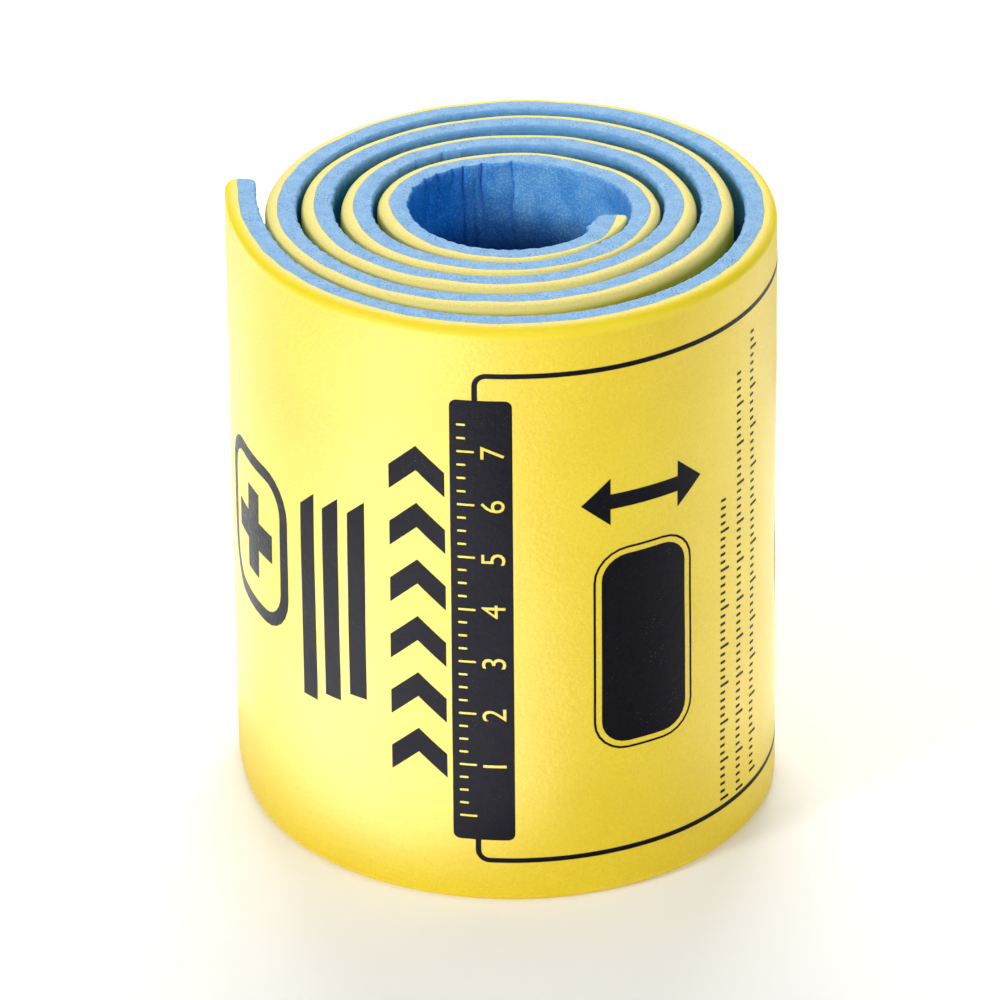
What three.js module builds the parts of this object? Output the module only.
// Rolled moldable splint: one long strip of two bonded foam layers, yellow outside and
// blue inside, wound about four and a half turns into a loose roll that stands on its
// cut edge. The hole in the middle of the roll runs right through.
// Millimetres, +Z up, the floor at z = 0, the middle of the roll's footprint at x = y = 0.
import * as THREE from 'three';

// Sizes of the strip laid flat
const strip_length = 914;
const strip_width = 110;
const yellow_thickness = 2.1;
const blue_thickness = 3.1;
const bond_gap = 0.3;

// Sizes of the roll
const core_radius = 20.7;
const turn_clearance = 0.35;
const inner_end_azimuth = 346;
const tail_lift = 2.6;
const tail_length = 24;

// Rounding of the edges; no rounding takes more than its share of the wall
const yellow_edge_radius = 1.7;
const blue_edge_radius = 0.5;
const end_edge_radius = 0.9;
const rounding_share = 0.85;
const yellow_end_share = 0.5;

// Fineness of the faceted faces
const section_count = 232;
const yellow_arc_steps = 4;
const blue_arc_steps = 2;

// How the turns lie, followed from the inner end outwards in twelfths of a turn.
// `radius` is the first turn's radius as a share of core_radius. The other columns are
// the room outside each turn as a share of yellow_thickness: above zero the turns stand
// apart, below zero the yellow foam there is pressed thinner by that share.
const winding = [
  { radius: 0.90, first: -0.15, second: -0.30, third: 0.30, fourth: 0.90 },
  { radius: 0.99, first: -0.60, second: -0.55, third: 0.25, fourth: 1.45 },
  { radius: 1.00, first: -0.35, second: -0.55, third: 0.60, fourth: 1.45 },
  { radius: 1.01, first: -0.40, second: -0.10, third: 0.60, fourth: 1.00 },
  { radius: 1.00, first: 0.20, second: 0.10, third: 0.35, fourth: 0.20 },
  { radius: 0.99, first: 0.40, second: 0.25, third: 0.25, fourth: -0.15 },
  { radius: 1.02, first: 0.20, second: 0.60, third: 0.10, fourth: 0.00 },
  { radius: 1.02, first: 0.35, second: 0.60, third: 0.15, fourth: 0.05 },
  { radius: 0.99, first: 0.75, second: 0.70, third: 0.50, fourth: 0.20 },
  { radius: 0.98, first: 0.85, second: 1.35, third: 0.60, fourth: 0.30 },
  { radius: 1.02, first: 1.30, second: 0.90, third: 0.30, fourth: 0.50 },
  { radius: 1.12, first: 0.25, second: 0.35, third: 0.50, fourth: 0.70 },
];
const spacing_columns = ['first', 'second', 'third', 'fourth'];
const thinnest_share = 0.35;
const degree = Math.PI / 180;
const knots_per_turn = winding.length;
const knot_angle = 360 * degree / knots_per_turn;

// Room outside the turn at a knot, the last column serving any further turns
function room_share(knot) {
  const turn = Math.min(Math.floor(knot / knots_per_turn), spacing_columns.length - 1);
  return winding[knot % knots_per_turn][spacing_columns[turn]];
}

// Thickness the yellow foam is left with at a knot
function yellow_at_knot(knot) {
  return yellow_thickness * Math.max(thinnest_share, 1 + Math.min(0, room_share(knot)));
}

// Radius of the bond line at every knot: each turn lies on the one below it
const least_radius = core_radius * Math.min(...winding.map((row) => row.radius));
const spare_knots = 4;
const knot_count = Math.ceil(strip_length / (least_radius * knot_angle)) + spare_knots;
const bond_knots = [];
const yellow_knots = [];
for (let k = 0; k < knot_count; k += 1) {
  yellow_knots.push(yellow_at_knot(k));
  if (k < knots_per_turn) {
    bond_knots.push(core_radius * winding[k].radius);
  } else {
    const below = k - knots_per_turn;
    const space = turn_clearance + yellow_thickness * Math.max(0, room_share(below));
    bond_knots.push(bond_knots[below] + yellow_knots[below] + space + bond_gap + blue_thickness);
  }
}

// Smooth value between knots, never outside the range of the four knots about it
function smooth(values, t) {
  const k = Math.floor(t);
  const u = t - k;
  const at = (i) => (i < 0 ? 2 * values[0] - values[1] : values[i]);
  const a = (1 - u) ** 3 * at(k - 1);
  const b = (3 * u ** 3 - 6 * u ** 2 + 4) * at(k);
  const c = (-3 * u ** 3 + 3 * u ** 2 + 3 * u + 1) * at(k + 1);
  const d = u ** 3 * at(k + 2);
  return (a + b + c + d) / 6;
}

// Distance along the bond line, walked outwards until the strip is used up
const walk_step = 0.02;
const walked = [0];
function wound_point(t, lift = 0) {
  const azimuth = inner_end_azimuth * degree - t * knot_angle;
  const r = smooth(bond_knots, t) + lift;
  return [r * Math.cos(azimuth), r * Math.sin(azimuth)];
}
while (walked[walked.length - 1] < strip_length) {
  const t = (walked.length - 1) * walk_step;
  const [x0, y0] = wound_point(t);
  const [x1, y1] = wound_point(t + walk_step);
  walked.push(walked[walked.length - 1] + Math.hypot(x1 - x0, y1 - y0));
}
function knot_at_length(s) {
  let low = 0;
  let high = walked.length - 1;
  while (high - low > 1) {
    const middle = (low + high) >> 1;
    if (walked[middle] <= s) {
      low = middle;
    } else {
      high = middle;
    }
  }
  return (low + (s - walked[low]) / (walked[high] - walked[low])) * walk_step;
}

// Point of the bond line at a length from the inner end; the free end springs outwards
function bond_point(s) {
  const from_tail = Math.min(strip_length - s, tail_length);
  return wound_point(knot_at_length(s), tail_lift * (1 - from_tail / tail_length) ** 2);
}

// Places along the strip: even steps, and a few close ones where each end rounds off
const rounded = [0, 30, 60].map((a) => end_edge_radius * (1 - Math.cos(a * degree)));
const places = [...rounded];
for (let i = 0; i <= section_count; i += 1) {
  places.push(end_edge_radius + (strip_length - 2 * end_edge_radius) * i / section_count);
}
places.push(...rounded.map((d) => strip_length - d).reverse());

// One section: its point on the bond line, the way outwards, and both layers' thickness
const look_step = 0.05;
function section(s) {
  const point = bond_point(s);
  const before = s > look_step ? bond_point(s - look_step) : point;
  const after = s > look_step ? point : bond_point(s + look_step);
  const run = [after[0] - before[0], after[1] - before[1]];
  const length = Math.hypot(run[0], run[1]);
  const from_end = Math.min(s, strip_length - s, end_edge_radius);
  const into = end_edge_radius - from_end;
  const trim = end_edge_radius - Math.sqrt(Math.max(0, end_edge_radius ** 2 - into ** 2));
  return {
    point,
    out: [-run[1] / length, run[0] / length],
    yellow: smooth(yellow_knots, knot_at_length(s)) - yellow_end_share * trim,
    blue: blue_thickness - trim,
  };
}
const sections = places.map(section);

// Outline of a layer in a section: flat against the bond, rounded at the skin's two edges
function outline(thickness, edge_radius, arc_steps) {
  const rho = Math.min(edge_radius, rounding_share * thickness, rounding_share * strip_width / 2);
  const points = [[0, 0]];
  for (let i = 0; i <= arc_steps; i += 1) {
    const a = 90 * degree * i / arc_steps;
    points.push([thickness - rho + rho * Math.sin(a), rho - rho * Math.cos(a)]);
  }
  for (let i = 0; i <= arc_steps; i += 1) {
    const a = 90 * degree * i / arc_steps;
    points.push([thickness - rho + rho * Math.cos(a), strip_width - rho + rho * Math.sin(a)]);
  }
  points.push([0, strip_width]);
  return points;
}

// The yellow layer lies outside the bond line and the blue layer inside it
const yellow_rings = sections.map((c) => outline(c.yellow, yellow_edge_radius, yellow_arc_steps)
  .map(([depth, z]) => {
    const d = bond_gap / 2 + depth;
    return [c.point[0] + d * c.out[0], c.point[1] + d * c.out[1], z];
  }));
const blue_rings = sections.map((c) => outline(c.blue, blue_edge_radius, blue_arc_steps)
  .map(([depth, z]) => {
    const d = -bond_gap / 2 - depth;
    return [c.point[0] + d * c.out[0], c.point[1] + d * c.out[1], z];
  })
  .reverse());

// Middle of the roll's footprint, moved to x = y = 0
const footprint = new THREE.Box3();
for (const ring of [...yellow_rings, ...blue_rings]) {
  for (const [x, y, z] of ring) {
    footprint.expandByPoint(new THREE.Vector3(x, y, z));
  }
}
const middle = footprint.getCenter(new THREE.Vector3());

// Closed skin over a row of rings, with a flat cap at each end
function layer(rings) {
  const n = rings[0].length;
  const positions = [];
  for (const ring of rings) {
    for (const [x, y, z] of ring) {
      positions.push(x - middle.x, y - middle.y, z);
    }
  }
  const faces = [];
  for (let i = 0; i + 1 < rings.length; i += 1) {
    for (let j = 0; j < n; j += 1) {
      const a = i * n + j;
      const b = i * n + (j + 1) % n;
      faces.push(a, b, b + n, a, b + n, a + n);
    }
  }
  const last = (rings.length - 1) * n;
  for (let j = 1; j + 1 < n; j += 1) {
    faces.push(0, j + 1, j);
    faces.push(last, last + j, last + j + 1);
  }
  const geometry = new THREE.BufferGeometry();
  geometry.setAttribute('position', new THREE.Float32BufferAttribute(positions, 3));
  geometry.setIndex(faces);
  geometry.computeVertexNormals();
  return geometry;
}

const group = new THREE.Group();
group.name = 'rolled_splint';

const yellow_material = new THREE.MeshStandardMaterial({ color: 0xf3d63a, roughness: 0.55, metalness: 0 });
const yellow_foam = new THREE.Mesh(layer(yellow_rings), yellow_material);
yellow_foam.name = 'yellow_foam';
group.add(yellow_foam);

const blue_material = new THREE.MeshStandardMaterial({ color: 0x6b9fdc, roughness: 0.75, metalness: 0 });
const blue_foam = new THREE.Mesh(layer(blue_rings), blue_material);
blue_foam.name = 'blue_foam';
group.add(blue_foam);

export default group;
